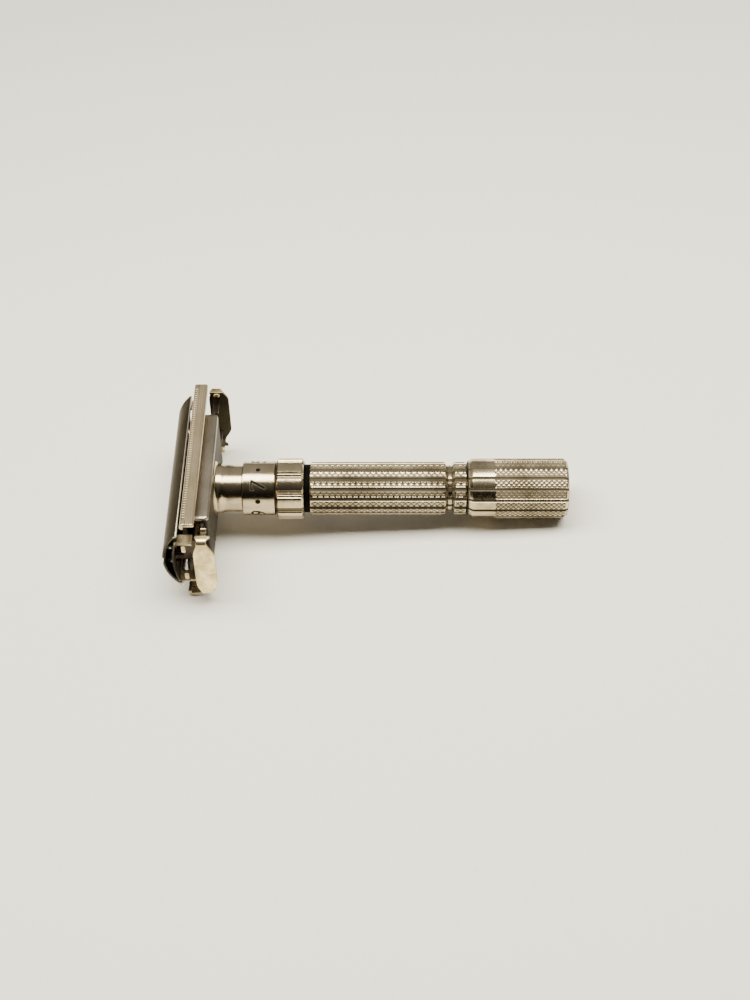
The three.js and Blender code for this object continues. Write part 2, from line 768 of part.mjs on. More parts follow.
add('knob_shell', knobShell(), NICKEL);
add('knob_end_plug', knobEndPlug(), NICKEL);
add('drive_nut', driveNut(), INNER_BRASS);
add('knob_bush', knobBush(), INNER_BRASS);

add('dial_sleeve', dialSleeve(), NICKEL);
add('dial_grip_ring', dialGripRing(), NICKEL);
add('dial_nut', dialNut(), INNER_BRASS);

add('guard_plate', guardPlate(), NICKEL);
add('adjuster_sleeve', adjusterSleeve(), INNER_BRASS);

add('lift_rod', liftRod(), STEEL);
add('crosshead', crosshead(), NICKEL);
add('crosshead_screw', crossheadScrew(), STEEL);

const ENDS = [['far', 1], ['near', -1]];
for (const [end, side] of ENDS) {
  add(`platform_post_${end}`, platformPost(side), INNER_BRASS);
  add(`guard_post_${end}`, guardPost(side), STEEL);
  add(`ear_${end}`, ear(side), WORN_NICKEL);
  add(`stanchion_${end}`, stanchion(side), NICKEL);
  add(`upper_hinge_pin_${end}`, hingePin(side, PIVOT_X), STEEL);
  add(`lower_hinge_pin_${end}`, hingePin(side, -PIVOT_X), STEEL);
}

add('upper_door', door(1), NICKEL);
add('lower_door', door(-1), NICKEL);

// Laid on its side: the head points along -X and the blade's width stands up.
const KNOB_REST = 0.6;
const TILT = Math.atan2(GUARD_HALF_WIDTH - KNOB_RADIUS, GUARD_LIP + 0.35 - KNOB_REST);
razor.rotation.y = TILT - Math.PI / 2;

// The origin is the middle of the base of the razor's box.
const extent = new THREE.Box3().setFromObject(razor, true);
const middle = extent.getCenter(new THREE.Vector3());
razor.position.set(-middle.x, -middle.y, -extent.min.z);

const part = new THREE.Group();
part.add(razor);

export default part;
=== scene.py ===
import json
import math

import bmesh
import bpy
import numpy as np
from mathutils import Matrix, Vector

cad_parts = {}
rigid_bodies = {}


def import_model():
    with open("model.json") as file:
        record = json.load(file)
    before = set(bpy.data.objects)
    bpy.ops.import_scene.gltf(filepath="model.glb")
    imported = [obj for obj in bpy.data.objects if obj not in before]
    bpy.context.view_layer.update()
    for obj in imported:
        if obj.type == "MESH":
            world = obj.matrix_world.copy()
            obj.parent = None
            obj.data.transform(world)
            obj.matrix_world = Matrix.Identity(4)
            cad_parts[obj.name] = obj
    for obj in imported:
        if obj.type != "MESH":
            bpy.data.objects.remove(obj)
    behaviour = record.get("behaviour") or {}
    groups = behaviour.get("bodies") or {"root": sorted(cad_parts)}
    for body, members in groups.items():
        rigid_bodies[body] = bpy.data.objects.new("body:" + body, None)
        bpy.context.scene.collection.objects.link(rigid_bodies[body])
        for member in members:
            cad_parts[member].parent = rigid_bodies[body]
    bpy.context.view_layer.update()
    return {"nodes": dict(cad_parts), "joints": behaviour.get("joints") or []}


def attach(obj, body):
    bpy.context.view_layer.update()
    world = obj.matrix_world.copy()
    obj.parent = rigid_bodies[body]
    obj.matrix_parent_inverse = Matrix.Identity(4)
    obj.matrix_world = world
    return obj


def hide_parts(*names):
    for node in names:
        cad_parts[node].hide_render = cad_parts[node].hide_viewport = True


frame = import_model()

# ------------------------------ the razor's own axes
# Shapes are drawn upright, in millimetres: (side, away, up), where up runs from the knob to
# the head, away is the length of the blade and side its width. to_row() lays them down.

MM = 0.001
JOINTS = {joint["name"]: joint for joint in frame["joints"]}
UP = Vector(JOINTS["door_lift"]["axis"]).normalized()
AWAY = Vector((0, 1, 0))
SIDE = AWAY.cross(UP)
AXES = np.array([SIDE, AWAY, UP])


def node_points(node):
    """The points of a CAD node, in the row frame."""
    mesh = frame["nodes"][node].data
    points = np.empty(3 * len(mesh.vertices), np.float32)
    mesh.vertices.foreach_get("co", points)
    return points.reshape(-1, 3).astype(float)


AXIS_POINT = np.array(JOINTS["knob_turn"]["pos_m"])
KNOB_END = ((node_points("knob_shell") - AXIS_POINT) @ AXES[2]).min()
ORIGIN = AXIS_POINT + KNOB_END * AXES[2]


def to_upright(points):
    return (np.asarray(points, float) - ORIGIN) @ AXES.T / MM


def to_row(points):
    return np.asarray(points, float) @ AXES * MM + ORIGIN


def extent(node):
    """Lowest and highest corner of a CAD node in the upright frame."""
    points = to_upright(node_points(node))
    return points.min(0), points.max(0)


# ------------------------------ outlines

SIDE_SHARE = 0.49  # of a side that the rounding of one corner may take


def rounded(points, radii, steps=4):
    """A closed outline with its corners rounded. Any third number is carried along."""
    points = [np.array(point, float) for point in points]
    if np.isscalar(radii):
        radii = [radii] * len(points)
    result = []
    for i, (corner, radius) in enumerate(zip(points, radii)):
        if radius == 0:
            result.append(corner)
            continue
        back = points[i - 1] - corner
        ahead = points[(i + 1) % len(points)] - corner
        share_back = min(radius / np.linalg.norm(back[:2]), SIDE_SHARE)
        share_ahead = min(radius / np.linalg.norm(ahead[:2]), SIDE_SHARE)
        for t in np.linspace(0, 1, steps + 1):
            result.append(corner + (1 - t) ** 2 * share_back * back + t ** 2 * share_ahead * ahead)
    return np.array(result)


def refined(outline, fine, coarse=1.5):
    """Splits the sides of a closed outline. Sides with relief, the third number, are split finely."""
    result = []
    for i, start in enumerate(outline):
        end = outline[(i + 1) % len(outline)]
        step = fine if start[2] > 0 and end[2] > 0 else coarse
        count = max(1, math.ceil(np.linalg.norm((end - start)[:2]) / step))
        result.extend(start + (end - start) * k / count for k in range(count))
    return np.array(result)


def arc_points(centre, radius, start, end, count=12):
    """Points along an arc, from one angle to another in degrees."""
    turns = np.radians(np.linspace(start, end, count))
    return [(centre[0] + radius * math.cos(t), centre[1] + radius * math.sin(t)) for t in turns]


# ------------------------------ shapes: points and faces

TIP_RADIUS = 0.01  # in place of a radius of 0, where a turned piece meets its axis


def grid_faces(rows, columns, close_rows=True):
    """Four-sided faces between rows of points that each close on themselves."""
    last = rows if close_rows else rows - 1
    i, j = np.meshgrid(np.arange(last), np.arange(columns), indexing="ij")
    below = (i + 1) % rows
    beside = (j + 1) % columns
    faces = np.stack([i * columns + j, i * columns + beside, below * columns + beside,
                      below * columns + j], -1)
    return faces.reshape(-1, 4).tolist()


def lathe(outline, columns, relief=None):
    """A turned ring. outline holds (radius, height, share of relief), and is closed.
    relief(height, angle) is how far the surface stands out; angle 0 faces the near side."""
    angles = np.linspace(0, 2 * math.pi, columns, endpoint=False)
    height, angle = np.meshgrid(outline[:, 1], angles, indexing="ij")
    radius = np.repeat(outline[:, :1], columns, 1)
    if relief is not None:
        radius = radius + outline[:, 2:3] * relief(height, angle)
    points = np.stack([radius * np.sin(angle), -radius * np.cos(angle), height], -1)
    return points.reshape(-1, 3), grid_faces(len(outline), columns)


def disc(outline, columns):
    """A turned piece without a bore: the outline runs from the axis and back to it."""
    outline = np.array(outline, float)
    angles = np.linspace(0, 2 * math.pi, columns, endpoint=False)
    radius = np.maximum(outline[:, :1], TIP_RADIUS)
    points = np.stack([radius * np.sin(angles), -radius * np.cos(angles),
                       np.repeat(outline[:, 1:], columns, 1)], -1).reshape(-1, 3)
    faces = grid_faces(len(outline), columns, close_rows=False)
    faces.append(list(range(columns))[::-1])
    faces.append(list(range(len(points) - columns, len(points))))
    return points, faces


def loft(rings):
    """A closed solid through rings of equally many points."""
    rings = np.array(rings)
    count, columns = rings.shape[:2]
    faces = grid_faces(count, columns, close_rows=False)
    faces.append(list(range(columns))[::-1])
    faces.append(list(range((count - 1) * columns, count * columns)))
    return rings.reshape(-1, 3), faces


def along_y(outline, stations):
    """An outline in (side, up), drawn along the blade's length through the stations."""
    outline = np.array(outline)[:, :2]
    return loft([[(side, y, up) for side, up in outline] for y in stations])


def block(low, high):
    """A box between two corners."""
    (x0, y0, z0), (x1, y1, z1) = low, high
    return along_y([(x0, z0), (x1, z0), (x1, z1), (x0, z1)], [y0, y1])


def rod(radius, low, high, side, away, columns=32):
    """A round bar along the handle's direction."""
    outline = [(0, low), (radius, low), (radius, high), (0, high)]
    points, faces = disc(outline, columns)
    return points + np.array([side, away, 0]), faces


def eye(inner, outer, y0, y1, side, up, columns=32):
    """A short tube along the blade's length."""
    edge = 0.08
    outline = rounded([(inner, y0, 0), (outer, y0, 0), (outer, y1, 0), (inner, y1, 0)], edge, 2)
    points, faces = lathe(outline, columns)
    return np.stack([points[:, 0] + side, points[:, 2], points[:, 1] + up], -1), faces


def mesh_of(shapes, name):
    """One mesh, in the row frame, of shapes drawn upright."""
    points, faces = [], []
    start = 0
    for shape_points, shape_faces in shapes:
        points.append(np.asarray(shape_points))
        faces.extend([[start + k for k in face] for face in shape_faces])
        start += len(shape_points)
    mesh = bpy.data.meshes.new(name)
    mesh.from_pydata(to_row(np.concatenate(points)).tolist(), [], faces)
    work = bmesh.new()
    work.from_mesh(mesh)
    bmesh.ops.recalc_face_normals(work, faces=work.faces)
    work.to_mesh(mesh)
    work.free()
    return mesh


def cut_from(shape, cutters):
    """The shape with the cutters taken away."""
    scene = bpy.context.scene.collection.objects
    base = bpy.data.objects.new("base", mesh_of([shape], "base"))
    scene.link(base)
    tools = []
    for cutter in cutters:
        tool = bpy.data.objects.new("tool", mesh_of([cutter], "tool"))
        scene.link(tool)
        tools.append(tool)
        modifier = base.modifiers.new("cut", "BOOLEAN")
        modifier.operation = "DIFFERENCE"
        modifier.solver = "EXACT"
        modifier.object = tool
    result = base.evaluated_get(bpy.context.evaluated_depsgraph_get()).to_mesh()
    points = to_upright([vertex.co for vertex in result.vertices])
    faces = [list(polygon.vertices) for polygon in result.polygons]
    for made in [base, *tools]:
        bpy.data.objects.remove(made)
    return points, faces


# ------------------------------ pieces

def piece(name, shapes, body, replaced, material, sharp=35, bevel=0, paint=None):
    """Links a piece, in place, to the body that it moves with."""
    mesh = mesh_of(shapes, name)
    mesh.polygons.foreach_set("use_smooth", [True] * len(mesh.polygons))
    mesh.set_sharp_from_angle(angle=math.radians(sharp))
    if paint:
        values = paint(to_upright([vertex.co for vertex in mesh.vertices]))
        attribute = mesh.attributes.new("paint", "FLOAT", "POINT")
        attribute.data.foreach_set("value", values.astype(np.float32))
    made = bpy.data.objects.new(name, mesh)
    bpy.context.scene.collection.objects.link(made)
    made.data.materials.append(material)
    if bevel:
        soften(made, bevel)
    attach(made, body)
    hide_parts(*replaced)
    return made


def soften(made, width):
    """Fine rounded edges."""
    bevel = made.modifiers.new("soft_edges", "BEVEL")
    bevel.width = width * MM
    bevel.segments = 3
    bevel.limit_method = "ANGLE"
    bevel.angle_limit = math.radians(30)
    bevel.harden_normals = True


# ------------------------------ materials

MIX_FACTOR, MIX_FIRST, MIX_SECOND, MIX_RESULT = 0, 6, 7, 2  # sockets of a Mix node for colours


class Nodes:
    """A material's node tree, with short ways to add nodes to it."""

    def __init__(self, name):
        self.material = bpy.data.materials.new(name)
        self.material.use_nodes = True
        self.tree = self.material.node_tree
        self.shader = self.tree.nodes["Principled BSDF"]

    def add(self, kind, inputs=(), **settings):
        node = self.tree.nodes.new(kind)
        for key, value in settings.items():
            setattr(node, key, value)
        for socket, value in dict(inputs).items():
            self.feed(value, node.inputs[socket])
        return node

    def feed(self, value, socket):
        if isinstance(value, bpy.types.NodeSocket):
            self.tree.links.new(value, socket)
        else:
            socket.default_value = value

    def math(self, operation, first, second=0.0, third=0.0):
        """The result of one Math node."""
        node = self.add("ShaderNodeMath", {0: first, 1: second, 2: third}, operation=operation)
        return node.outputs[0]

    def between(self, value, low, high, start=0.0, end=1.0):
        """value taken from low..high to start..end, smoothly."""
        inputs = {"Value": value, 1: low, 2: high, 3: start, 4: end}
        node = self.add("ShaderNodeMapRange", inputs, interpolation_type="SMOOTHSTEP")
        return node.outputs[0]

    def mix(self, factor, first, second):
        """The first colour where the factor is 0 and the second where it is 1."""
        node = self.add("ShaderNodeMix", data_type="RGBA")
        self.feed(factor, node.inputs[MIX_FACTOR])
        self.feed(first, node.inputs[MIX_FIRST])
        self.feed(second, node.inputs[MIX_SECOND])
        return node.outputs[MIX_RESULT]

    def upright(self):
        """Upright coordinates in millimetres."""
        turn = Matrix(AXES.tolist()).to_euler()
        shift = -(AXES @ ORIGIN) / MM
        place = self.add("ShaderNodeTexCoord").outputs["Object"]
        inputs = {"Vector": place, "Location": tuple(shift), "Rotation": turn,
                  "Scale": (1 / MM,) * 3}
        return self.add("ShaderNodeMapping", inputs).outputs[0]

    def noise(self, vector, stretch, detail=2.0, roughness=0.5):
        """Noise that changes stretch times per millimetre along each upright axis."""
        scaled = self.add("ShaderNodeVectorMath", {0: vector, 1: stretch}, operation="MULTIPLY")
        inputs = {"Vector": scaled.outputs[0], "Scale": 1.0, "Detail": detail,
                  "Roughness": roughness}
        return self.add("ShaderNodeTexNoise", inputs).outputs["Fac"]


# Changes per millimetre along each upright axis.
TURNED = (0.35, 0.35, 7.0)  # lathe marks round the handle
DRAWN = (9.0, 0.25, 9.0)  # rolling marks along the blade
TUMBLED = (2.5, 2.5, 2.5)  # marks without a direction
CLOUDS = (0.16, 0.11, 0.16)
SPECKS = (3.1, 3.1, 3.1)

TARNISH = 0.55  # brightness of the dull patches beside the dark clouds
METAL_SPECULAR = 0.12


def metal(name, light, dark, roughness, grain, relief=0.004, haze=0.1, blotch=0.3, streaks=0.18,
          grit=0.6):
    """Plated metal: cloudy tone, fine marks along the grain, and a few dull patches.
    relief is the bump's depth in millimetres, and grit how deep the specks are beside the marks.
    haze is how much the marks change the gloss, and streaks how much they darken. The smaller
    blotch is, the sharper the clouds are."""
    dull_from, dull_full, most_dull, dull_roughness = 0.56, 0.72, 0.55, 0.22
    streaks_from, streaks_full = 0.35, 0.65
    made = Nodes(name)
    place = made.upright()
    clouds = made.noise(place, CLOUDS, detail=5.0, roughness=0.6)
    marks = made.noise(place, grain, detail=3.0, roughness=0.65)
    specks = made.noise(place, SPECKS, detail=4.0, roughness=0.7)
    tone = made.between(clouds, 0.5 - blotch, 0.5 + blotch)
    colour = made.mix(tone, (*dark, 1), (*light, 1))
    dull = made.between(specks, dull_from, dull_full, 0.0, most_dull)
    tarnish = tuple(TARNISH * c for c in dark)
    colour = made.mix(dull, colour, (*tarnish, 1))
    streak = made.between(marks, streaks_from, streaks_full, 0.0, streaks)
    colour = made.mix(streak, colour, (*dark, 1))
    rough = made.math("MULTIPLY_ADD", marks, haze, roughness - haze / 2)
    rough = made.math("MULTIPLY_ADD", dull, dull_roughness, rough)
    height = made.math("MULTIPLY_ADD", specks, grit, marks)
    bump = made.add("ShaderNodeBump", {"Height": height, "Distance": relief * MM})
    made.feed(colour, made.shader.inputs["Base Color"])
    made.feed(rough, made.shader.inputs["Roughness"])
    made.feed(bump.outputs[0], made.shader.inputs["Normal"])
    made.shader.inputs["Metallic"].default_value = 1.0
    made.shader.inputs["Specular IOR Level"].default_value = METAL_SPECULAR
    return made


def filled(made, colour):
    """Ink, dark fill and painted shade of the colour wherever the mesh's paint attribute says so."""
    matt = 0.35
    paint = made.add("ShaderNodeAttribute", attribute_name="paint").outputs["Fac"]
    base = made.shader.inputs["Base Color"].links[0].from_socket
    rough = made.shader.inputs["Roughness"].links[0].from_socket
    made.feed(made.mix(paint, base, (*colour, 1)), made.shader.inputs["Base Color"])
    made.feed(made.math("SUBTRACT", 1.0, paint), made.shader.inputs["Metallic"])
    made.feed(made.math("MULTIPLY_ADD", paint, matt, rough), made.shader.inputs["Roughness"])
    return made


SIDE_REFLECTANCE = (0.46, 0.445, 0.42, 1)  # of the doors' metal, where it is seen at a slant


def with_painted_highlight(made, colour):
    """A painted highlight of the colour wherever the mesh's paint attribute says so."""
    paint = made.add("ShaderNodeAttribute", attribute_name="paint").outputs["Fac"]
    base = made.shader.inputs["Base Color"].links[0].from_socket
    made.feed(made.mix(paint, base, (*colour, 1)), made.shader.inputs["Base Color"])
    made.shader.inputs["Specular Tint"].default_value = SIDE_REFLECTANCE
    return made


PALE = (0.67, 0.57, 0.385)
TAN = (0.42, 0.34, 0.215)
# BROWN is the dark fill in cuts and the painted shade; BLACK is the ink, and the painted shade inside
# the neck and dial.
BROWN = (0.009, 0.0065, 0.004)
BLACK = (0.002, 0.002, 0.002)

TURNED_PLATE = {"light": PALE, "dark": TAN, "roughness": 0.15, "grain": TURNED, "relief": 0.011,
                "grit": 1.6}
POLISHED = metal("polished_nickel", **TURNED_PLATE)
# Ink of the marks, and painted shade on inner faces.
MARKED = filled(metal("marked_nickel", **TURNED_PLATE), BLACK)
# Dark fill in the knurls and grooves, and painted shade on inner faces.
KNURLED = filled(metal("knurled_nickel", light=PALE, dark=(0.31, 0.25, 0.155), roughness=0.2,
                       grain=TUMBLED, blotch=0.2), BROWN)
SATIN = filled(metal("satin_nickel", light=(0.46, 0.41, 0.33), dark=(0.22, 0.19, 0.15), roughness=0.3,
                     grain=DRAWN, relief=0.01, haze=0.2, streaks=0.5), BROWN)
# The doors' nickel, darkened far below the other nickel as a painted reflection of dark surroundings,
# with a painted highlight in the bright colour along the rim.
SHADED_DOOR_NICKEL = with_painted_highlight(metal("shade_darkened_door_nickel", light=(0.085, 0.078, 0.067), dark=(0.034, 0.031, 0.026),
                    roughness=0.28, grain=DRAWN, relief=0.01, haze=0.2, streaks=0.6),
              (1.0, 0.93, 0.76))
BRUSHED = filled(metal("brushed_nickel", light=PALE, dark=TAN, roughness=0.3, grain=DRAWN,
                       relief=0.02, haze=0.2, streaks=0.6), BROWN)
STAINED = filled(metal("stained_nickel", light=(0.74, 0.61, 0.39), dark=(0.27, 0.21, 0.125),
                       roughness=0.34, grain=TUMBLED, relief=0.02, haze=0.2, blotch=0.12,
                       streaks=0.5), BROWN)
# Nickel of the pieces inside the head, darkened as painted shade.
INNER_SHADE_NICKEL = metal("shade_darkened_inner_nickel", light=(0.13, 0.10, 0.075), dark=(0.04, 0.03, 0.022), roughness=0.42,
             grain=TUMBLED, relief=0.01)
GOLDEN = filled(metal("golden_worn_nickel", light=(0.98, 0.82, 0.47), dark=(0.40, 0.30, 0.14),
                      roughness=0.28, grain=TUMBLED, relief=0.014, blotch=0.15, streaks=0.4), BROWN)
BRASS = metal("turned_brass", light=(0.30, 0.20, 0.09), dark=(0.16, 0.10, 0.045), roughness=0.34,
              grain=TURNED)
STEEL = metal("spring_steel", light=(0.30, 0.29, 0.28), dark=(0.18, 0.175, 0.165), roughness=0.3,
              grain=TUMBLED)


def gap_shade_washer():
    """Matt and nearly black: painted shade for the gap between the barrel and the grip ring."""
    darkest, lightest = (0.001, 0.001, 0.001, 1), (0.004, 0.004, 0.003, 1)
    smoothest, roughest, relief = 0.5, 0.75, 0.01
    made = Nodes("gap_shade_washer")
    marks = made.noise(made.upright(), (1.5, 1.5, 5.0), detail=4.0, roughness=0.6)
    rough = made.between(marks, 0.3, 0.7, smoothest, roughest)
    bump = made.add("ShaderNodeBump", {"Height": marks, "Distance": relief * MM})
    made.feed(made.mix(marks, darkest, lightest), made.shader.inputs["Base Color"])
    made.feed(rough, made.shader.inputs["Roughness"])
    made.feed(bump.outputs[0], made.shader.inputs["Normal"])
    made.shader.inputs["Specular IOR Level"].default_value = 0.02
    return made


GAP_SHADE = gap_shade_washer()

# ------------------------------ handle

PANELS = 16
SETTINGS = 9
SETTING_STEP = math.radians(36)
FIRST_SETTING = math.radians(-90)  # the underside, as the razor lies
KNURL_FLAT = 1.08  # above 1, so that each diamond has a small flat top
# strength of the dark fill in the cuts and of the painted shade on inner faces
MOST_FILL_AND_SHADE = 0.9
CUT_FILL = (0.05, 0.16)  # depths at which the dark fill starts and is full, in the knurls and long grooves


def groove_offset(angle, radius):
    """Distance round the piece to the middle of the nearest long groove."""
    pitch = 2 * math.pi / PANELS
    return np.abs((angle + pitch / 2) % pitch - pitch / 2) * radius


def groove_cut(offset, rod_radius, depth):
    """How deep a groove is that a round rod would fit, at an offset from its middle."""
    inside = np.sqrt(np.maximum(rod_radius ** 2 - offset ** 2, 0)) - (rod_radius - depth)
    return np.maximum(inside, 0)


def saw(value):
    """0 on whole numbers and 1 halfway between them."""
    return 1 - np.abs(2 * (value % 1) - 1)


def knurling(height, angle, around, pitch, depth):
    """Diamonds between two crossing sets of vee cuts."""
    turn = angle * around / (2 * math.pi)
    rise = height / pitch
    diamond = np.minimum(saw(turn + rise), saw(turn - rise))
    return -depth * (1 - np.minimum(KNURL_FLAT * diamond, 1))


def step_up(value, low, high):
    """0 up to low and 1 from high on, smoothly between them."""
    t = np.clip((value - low) / (high - low), 0, 1)
    return t * t * (3 - 2 * t)


def knurled_panels(radius, rod_radius, groove, around, pitch, depth, spans):
    """Relief of knurled panels between long grooves. spans are the heights that have knurling."""
    half = math.sqrt(rod_radius ** 2 - (rod_radius - groove) ** 2)
    border, border_end, run_out = 0.02, 0.14, 0.35

    def relief(height, angle):
        offset = groove_offset(angle, radius)
        panel = step_up(offset, half + border, half + border_end)
        cover = sum(step_up(height, low, low + run_out) * (1 - step_up(height, high - run_out, high))
                    for low, high in spans)
        pattern = knurling(height, angle, around, pitch, depth)
        return cover * panel * pattern - groove_cut(offset, rod_radius, groove)

    return relief


def cut_fill_and_shade(relief, shallow, deep, rim, most=MOST_FILL_AND_SHADE):
    """Dark fill in the cuts, from a shallow depth to a deep one, and painted shade on whatever lies
    inside rim.
    """
    fade = 0.2

    def paint(points):
        angle = np.arctan2(points[:, 0], -points[:, 1])
        # painted shade on whatever lies inside the rim
        inside = step_up(rim - np.hypot(points[:, 0], points[:, 1]), 0.0, fade)
        return most * np.maximum(step_up(-relief(points[:, 2], angle), shallow, deep), inside)

    return paint


def make_barrel():
    """A knurled, grooved sleeve with a polished bead in a notch near its lower end."""
    low, high = extent("handle_barrel")
    bore, radius = 4.4, high[0]
    notch_low, notch_high = low[2] + 2.5, low[2] + 4.5
    middle = (notch_low + notch_high) / 2
    valley, notch_slope = radius - 0.95, 0.4
    bead_crest, bead_bulge, bead_half, bead_turn = radius - 0.68, 0.27, 0.55, 1.45
    bead = [(bead_crest - bead_bulge * (1 - math.cos(t)), middle + bead_half * math.sin(t), 0)
            for t in np.linspace(-bead_turn, bead_turn, 17)]
    corners = [
        (bore, low[2], 0), (radius, low[2], 1), (radius, notch_low, 1),
        (valley, notch_low + notch_slope, 0), *bead, (valley, notch_high - notch_slope, 0),
        (radius, notch_high, 1), (radius, high[2], 1), (bore, high[2], 0),
    ]
    radii = [0.1, 0.22, 0.12, 0, *[0] * len(bead), 0, 0.12, 0.3, 0.1]
    outline = refined(rounded(corners, radii), fine=0.16)
    margin = 0.1
    relief = knurled_panels(radius, rod_radius=0.55, groove=0.34, around=30, pitch=1.25, depth=0.15,
                            spans=[(low[2] + margin, notch_low), (notch_high, high[2] - margin)])
    # Dark fill in the knurls and long grooves, and painted shade in the notch's valleys and the bore.
    piece("knurled_barrel", [lathe(outline, columns=360, relief=relief)], "handle", ["handle_barrel"],
          KNURLED.material, paint=cut_fill_and_shade(relief, *CUT_FILL, rim=radius - 0.8))


def make_knob():
    """A knurled, grooved cap with a smooth collar and a coned shoulder."""
    high = extent("knob_shell")[1]
    bore, radius, cone_radius, cap_bore = 5.2, high[0], 5.75, 3.2
    shoulder, cone, cap = 20.5, high[2], 2
    bevel_side, bevel_up = 0.6, 0.65
    knurl_low, knurl_high = 0.5, 15.9
    corners = [
        (bore, 0, 0), (radius - bevel_side, 0, 1), (radius, bevel_up, 1), (radius, shoulder, 1),
        (cone_radius, cone, 1), (cap_bore, cone, 0), (cap_bore, cone - cap, 0), (bore, cone - cap, 0),
    ]
    outline = refined(rounded(corners, [0.2, 0.15, 0.25, 0.2, 0.12, 0.1, 0, 0]), fine=0.14)
    relief = knurled_panels(radius, rod_radius=0.33, groove=0.27, around=38, pitch=1.08, depth=0.16,
                            spans=[(knurl_low, knurl_high)])
    # Dark fill in the knurls and long grooves, and painted shade on the inner faces.
    piece("knurled_knob", [lathe(outline, columns=448, relief=relief)], "knob", ["knob_shell"],
          KNURLED.material, paint=cut_fill_and_shade(relief, *CUT_FILL, rim=radius - 0.42))


def make_knob_end():
    """A shallow dish with a ring groove round its middle and a rounded rim."""
    low, high = extent("knob_end_plug")
    radius, base, top = high[0], low[2], high[2]
    dish_start, dish_end, dish_depth, dish_rise = 1.5, 3.9, 0.3, 0.2
    edge = 0.1
    # Radii, and depths from the knob's end.
    middle = [(0, 0.35), (1.0, 0.33), (1.25, 0.5), (dish_start, dish_depth)]
    dish = [(r, dish_depth - dish_rise * step_up(r, dish_start, dish_end))
            for r in np.linspace(1.7, dish_end, 8)]
    rim = [(4.05, 0.24), (4.2, 0.05), (4.5, 0), (radius - 0.08, 0.25), (radius, 0.4)]
    outline = [(r, base + depth) for r, depth in middle + dish + rim]
    outline += [(radius, top - edge), (radius - edge, top), (0, top)]
    piece("knob_end_disc", [disc(outline, columns=96)], "knob", ["knob_end_plug"],
          POLISHED.material)


def make_washer():
    """A plain ring in the gap between the barrel and the dial's grip ring, nearly black as painted
    shade of the gap.
    """
    gap, bore, radius, edge, step = 0.03, 2.9, 5.2, 0.15, 0.3
    bottom = extent("handle_barrel")[1][2] + gap
    top = extent("dial_grip_ring")[0][2] - gap
    corners = [(bore, bottom, 0), (radius, bottom, 0), (radius, top, 0), (bore, top, 0)]
    outline = refined(rounded(corners, edge), fine=step, coarse=step)
    piece("shade_gap_washer", [lathe(outline, columns=96)], "handle", ["thrust_washer"],
          GAP_SHADE.material)


def make_neck():
    """A polished neck that flares into the head, with the line that the dial is read against."""
    low, high = extent("neck")
    radius, flange, bore, seat = 5.1, high[0] + 0.05, 2.65, 1.9
    bottom, top = low[2] - 0.12, extent("head_pan")[0][2] - 0.01
    collar, seat_bottom = high[2] - 1.25, high[2] - 2.2
    flare_low, flare_high, lip_low, lip = collar - 0.6, collar + 0.1, top - 0.35, flange + 0.5
    mark_low, mark_high, mark_half_width = bottom + 0.3, bottom + 1.5, 0.2
    mark_depth, mark_slope, ink_edge = 0.08, 0.06, 0.05

    def mark_gap(height, angle):
        """How far a point is outside the line."""
        turn = (angle - FIRST_SETTING + math.pi) % (2 * math.pi) - math.pi
        over = np.maximum(height - mark_high, mark_low - height)
        return np.maximum(np.abs(turn) * radius - mark_half_width, over)

    def relief(height, angle):
        return -mark_depth * (1 - step_up(mark_gap(height, angle), 0.0, mark_slope))

    def paint(points):
        angle = np.arctan2(points[:, 0], -points[:, 1])
        # painted shade on the bore and inner faces; the ink is the index line
        inside = np.hypot(points[:, 0], points[:, 1]) < radius - 0.1
        ink = 1 - step_up(mark_gap(points[:, 2], angle), 0.0, ink_edge)
        return np.maximum(ink, MOST_FILL_AND_SHADE * inside)

    corners = [
        (bore, bottom, 0), (radius, bottom, 1), (radius, flare_low, 1), (flange, flare_high, 0),
        (flange, lip_low, 0), (lip, top, 0), (seat, top, 0), (seat, seat_bottom, 0),
        (bore, seat_bottom, 0),
    ]
    outline = rounded(corners, [0, 0.15, 0.8, 0.5, 0.3, 0.1, 0.05, 0, 0])
    outline = refined(outline, fine=0.1, coarse=0.6)
    piece("polished_neck", [lathe(outline, columns=320, relief=relief)], "handle", ["neck"],
          MARKED.material, paint=paint)


# ------------------------------ dial

HEAVY, THICK, THIN = 0.2, 0.16, 0.1
# Each digit is a list of strokes: half width and points, in millimetres round its middle.
DIGITS = {
    1: [
        (THICK, [(0.1, 1.4), (0.1, -1.4)]),
        (THIN, [(0.1, 1.4), (-0.5, 1.0)]),
        (THIN, [(-0.45, -1.42), (0.65, -1.42)]),
    ],
    3: [
        (THIN, arc_points((-0.05, 0.72), 0.72, 150, 30)),
        (THICK, arc_points((-0.05, 0.72), 0.7, 30, -80)),
        (THICK, arc_points((-0.1, -0.68), 0.8, 80, -60)),
        (THIN, arc_points((-0.1, -0.68), 0.82, -60, -155)),
    ],
    5: [
        (THICK, [(-0.5, 1.38), (0.75, 1.38)]),
        (THIN, [(-0.55, 1.4), (-0.68, 0.1)]),
        (THIN, arc_points((-0.08, -0.55), 0.85, 140, 70)),
        (THICK, arc_points((-0.08, -0.55), 0.85, 70, -70)),
        (THIN, arc_points((-0.08, -0.55), 0.87, -70, -150)),
    ],
    7: [
        (THIN, [(-0.98, 1.4), (0.95, 1.4)]),
        (THIN, [(-0.98, 1.4), (-0.98, 1.0)]),
        (HEAVY, [(0.88, 1.3), (-0.6, -1.4)]),
    ],
    9: [
        (THICK, arc_points((0.0, 0.62), 0.76, 0, 360, 24)),
        (THICK, [(0.77, 0.6), (0.6, -0.3), (0.15, -0.95)]),
        (THIN, [(0.15, -0.95), (-0.5, -1.42)]),
    ],
}
DOT_RADIUS = 0.46
FAR = 9.0  # well past the reach of any mark


